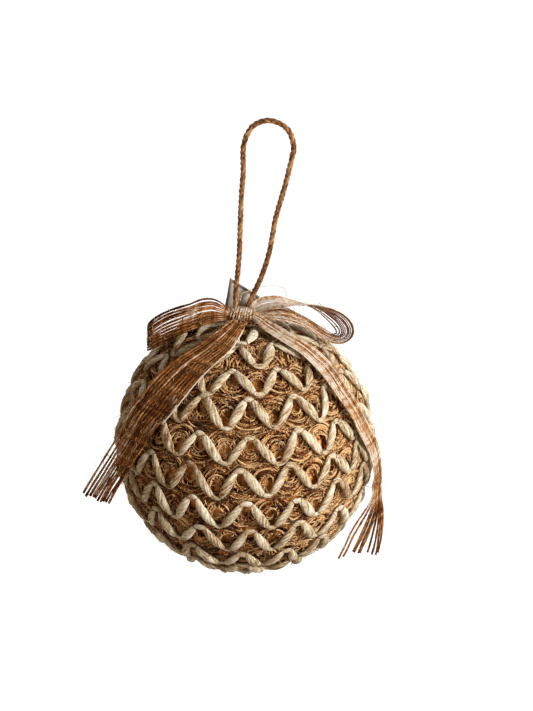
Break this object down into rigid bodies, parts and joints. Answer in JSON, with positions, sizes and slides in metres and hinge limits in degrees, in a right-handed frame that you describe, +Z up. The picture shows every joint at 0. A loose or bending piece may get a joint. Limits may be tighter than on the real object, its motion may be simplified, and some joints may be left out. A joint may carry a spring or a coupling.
{
  "type": "lace ball ornament",
  "caption": "Hanging ball ornament: thread-wrapped ball covered in jute braid rings with couched cream cord zigzags, a jute ribbon bow and a twine loop to hang it by.",
  "frame": {"origin": "inside top of the twine loop, where the ornament hangs on a hook or a branch", "axes": "+Z up, along the plumb line from the ball's centre to the hanging point; -Y towards the front, where the bow's tails fall; +X to the viewer's right"},
  "size_m": [0.1209, 0.1036, 0.186],
  "materials": {
    "core_satin": "satin thread, orange brown",
    "jute_braid": "matt fuzzy plied yarn, brown",
    "cream_cord": "matt soft plied cord, cream",
    "jute_ribbon": "open woven yarn, brown",
    "jute_twine": "plied twine, golden brown",
    "grey_tab": "smooth plain grey"
  },
  "bodies": {
    "root": {"core_ball": "core_satin", "lace_ring_01": "jute_braid", "lace_ring_02": "jute_braid", "lace_ring_03": "jute_braid", "lace_ring_04": "jute_braid", "lace_ring_05": "jute_braid", "lace_ring_06": "jute_braid", "lace_ring_07": "jute_braid", "lace_ring_08": "jute_braid", "lace_ring_09": "jute_braid", "lace_ring_10": "jute_braid", "lace_ring_11": "jute_braid", "lace_ring_12": "jute_braid", "cream_cord_01": "cream_cord", "cream_cord_02": "cream_cord", "cream_cord_03": "cream_cord", "cream_cord_04": "cream_cord", "cream_cord_05": "cream_cord", "cream_cord_06": "cream_cord", "cream_cord_07": "cream_cord", "cream_cord_08": "cream_cord", "cream_cord_09": "cream_cord", "cream_cord_10": "cream_cord", "cream_cord_11": "cream_cord", "cream_cord_12": "cream_cord", "ribbon_bow": "jute_ribbon", "hanging_twine": "jute_twine", "grey_tab": "grey_tab"}
  },
  "joints": []
}
